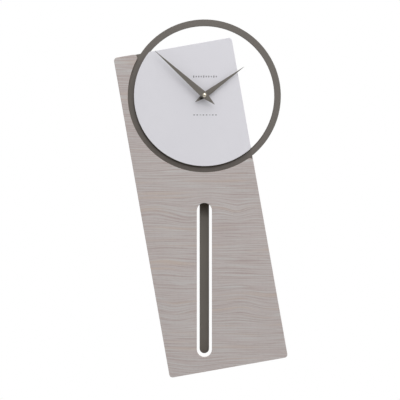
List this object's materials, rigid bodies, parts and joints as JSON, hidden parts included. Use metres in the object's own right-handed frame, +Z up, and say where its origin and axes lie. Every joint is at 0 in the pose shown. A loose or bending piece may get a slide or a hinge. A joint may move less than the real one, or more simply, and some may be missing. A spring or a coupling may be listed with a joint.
{
  "type": "pendulum wall clock",
  "caption": "Wall clock with a leaning wood-veneered panel, a slim round hoop around a clipped plain dial, two kite-shaped hands and a flat pendulum bar swinging behind a vertical slot.",
  "frame": {"origin": "on the wall plane, at the flat of the steel hanger just above its keyhole", "axes": "+X to the right as seen from the front, -Y out of the wall towards the viewer, +Z up; the dial's centre is 68.5 mm below the origin"},
  "size_m": [0.2893, 0.0497, 0.5983],
  "materials": {
    "ring_lacquer": "satin brown grey lacquer on fibreboard",
    "veneer": "grey stained wood veneer, open grain, matte",
    "dial_lacquer": "matte pale lacquer on fibreboard",
    "black_plastic": "fine spark-eroded black",
    "white_plastic": "natural moulded",
    "board": "green solder mask",
    "steel": "zinc plated",
    "copper": "enamelled copper winding",
    "brass": "turned, light polish",
    "magnet": "dark sintered magnet",
    "hand_lacquer": "satin brown grey lacquer",
    "bar_lacquer": "satin brown grey lacquer",
    "cell_wrap": "printed shrink wrap over a steel can",
    "rubber": "black rubber",
    "felt": "pressed felt"
  },
  "bodies": {
    "frame": {"ring_plate": "ring_lacquer", "wood_panel": "veneer", "dial_plate": "dial_lacquer", "movement_case": "black_plastic", "movement_cover": "black_plastic", "circuit_board": "board", "quartz_crystal": "steel", "motor_coil": "copper", "motor_stator": "steel", "contact_positive": "steel", "contact_negative": "steel", "pendulum_coil": "copper", "leader_pivot_pin": "steel", "threaded_bushing": "brass", "rubber_washer": "rubber", "brass_washer": "brass", "hex_nut": "brass", "hanger_bracket": "steel", "hanger_screw_low": "steel", "hanger_screw_high": "steel", "wall_spacer_left": "black_plastic", "wall_spacer_right": "black_plastic", "felt_pad_left": "felt", "felt_pad_right": "felt", "spacer_screw_left": "steel", "spacer_screw_right": "steel", "panel_screw_1": "steel", "panel_screw_2": "steel", "panel_screw_3": "steel", "panel_screw_4": "steel", "panel_screw_5": "steel", "dial_screw_1": "steel", "dial_screw_2": "steel", "dial_screw_3": "steel", "dial_screw_4": "steel"},
    "minute_group": {"cannon_pinion": "brass", "minute_hand": "hand_lacquer", "cap_nut": "brass"},
    "hour_group": {"hour_wheel": "brass", "hour_hand": "hand_lacquer"},
    "motion_gear": {"motion_wheel": "white_plastic"},
    "knob": {"setting_knob": "white_plastic"},
    "rotor_group": {"rotor": "magnet"},
    "intermediate_gear": {"intermediate_wheel": "white_plastic"},
    "second_gear": {"second_wheel": "white_plastic"},
    "third_gear": {"third_wheel": "white_plastic"},
    "centre_gear": {"centre_wheel": "white_plastic"},
    "pendulum": {"pendulum_leader": "white_plastic", "leader_magnet": "magnet", "pendulum_bar": "bar_lacquer"},
    "battery": {"battery_cell": "cell_wrap"}
  },
  "joints": [
    {"name": "minute_turn", "type": "hinge", "parent": "frame", "child": "minute_group", "pos_m": [0, -0.012, -0.06853], "axis": [0, 1, 0], "continuous": true},
    {"name": "hour_turn", "type": "hinge", "parent": "frame", "child": "hour_group", "pos_m": [0, -0.012, -0.06853], "axis": [0, 1, 0], "continuous": true},
    {"name": "motion_wheel_turn", "type": "hinge", "parent": "frame", "child": "motion_gear", "pos_m": [-0.00906, -0.012, -0.07275], "axis": [0, 1, 0], "continuous": true},
    {"name": "setting_knob_turn", "type": "hinge", "parent": "frame", "child": "knob", "pos_m": [-0.0148, -0.012, -0.08094], "axis": [0, 1, 0], "continuous": true},
    {"name": "rotor_spin", "type": "hinge", "parent": "frame", "child": "rotor_group", "pos_m": [0.0088, -0.012, -0.08742], "axis": [0, 1, 0], "continuous": true},
    {"name": "intermediate_wheel_turn", "type": "hinge", "parent": "frame", "child": "intermediate_gear", "pos_m": [0.01499, -0.012, -0.08123], "axis": [0, 1, 0], "continuous": true},
    {"name": "second_wheel_turn", "type": "hinge", "parent": "frame", "child": "second_gear", "pos_m": [0.01499, -0.012, -0.07223], "axis": [0, 1, 0], "continuous": true},
    {"name": "third_wheel_turn", "type": "hinge", "parent": "frame", "child": "third_gear", "pos_m": [0.00672, -0.012, -0.07524], "axis": [0, 1, 0], "continuous": true},
    {"name": "centre_wheel_turn", "type": "hinge", "parent": "frame", "child": "centre_gear", "pos_m": [0, -0.012, -0.06853], "axis": [0, 1, 0], "continuous": true},
    {"name": "pendulum_swing", "type": "hinge", "parent": "frame", "child": "pendulum", "pos_m": [0, -0.012, -0.10053], "axis": [0, 1, 0], "range_deg": [-4, 4]},
    {"name": "battery_slide", "type": "slide", "parent": "frame", "child": "battery", "axis": [0, 1, 0], "range_m": [0, 0.02]}
  ],
  "couplings": [
    {"joint": "hour_turn", "follows": "minute_turn", "ratio": 0.083333},
    {"joint": "motion_wheel_turn", "follows": "minute_turn", "ratio": -0.33333},
    {"joint": "setting_knob_turn", "follows": "minute_turn", "ratio": 1},
    {"joint": "intermediate_wheel_turn", "follows": "rotor_spin", "ratio": -0.16667},
    {"joint": "second_wheel_turn", "follows": "rotor_spin", "ratio": 0.033333},
    {"joint": "third_wheel_turn", "follows": "rotor_spin", "ratio": -0.0044444},
    {"joint": "centre_wheel_turn", "follows": "rotor_spin", "ratio": 0.00055556}
  ]
}
